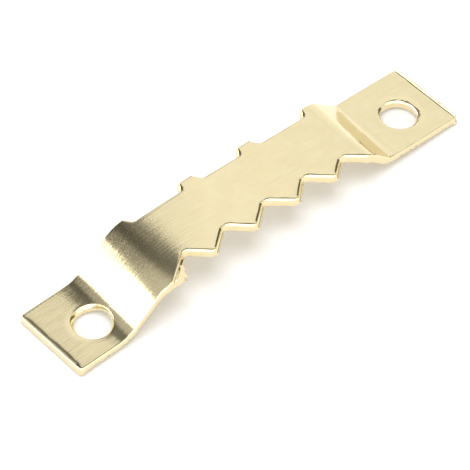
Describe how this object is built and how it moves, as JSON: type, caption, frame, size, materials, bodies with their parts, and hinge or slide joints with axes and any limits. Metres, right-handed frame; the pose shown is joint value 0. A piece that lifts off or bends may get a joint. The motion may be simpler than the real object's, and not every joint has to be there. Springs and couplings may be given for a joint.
{
  "type": "sawtooth picture hanger",
  "caption": "Low bridge of bent sheet metal with a toothed edge that catches a wall nail and a flat, pierced foot at each end for fixing it to a picture frame.",
  "frame": {"origin": "middle of the strip on the plane of the feet's backs, midway between the two nail holes along X", "axes": "+X along the strip towards the end with the short ramp, +Y across the strip away from the teeth, +Z out from the surface it is nailed to"},
  "size_m": [0.044, 0.008, 0.0051],
  "materials": {
    "brass_plating": "pale brass plating on steel, satin, with faint lines along the strip"
  },
  "bodies": {
    "root": {"hanger_plate": "brass_plating"}
  },
  "joints": []
}
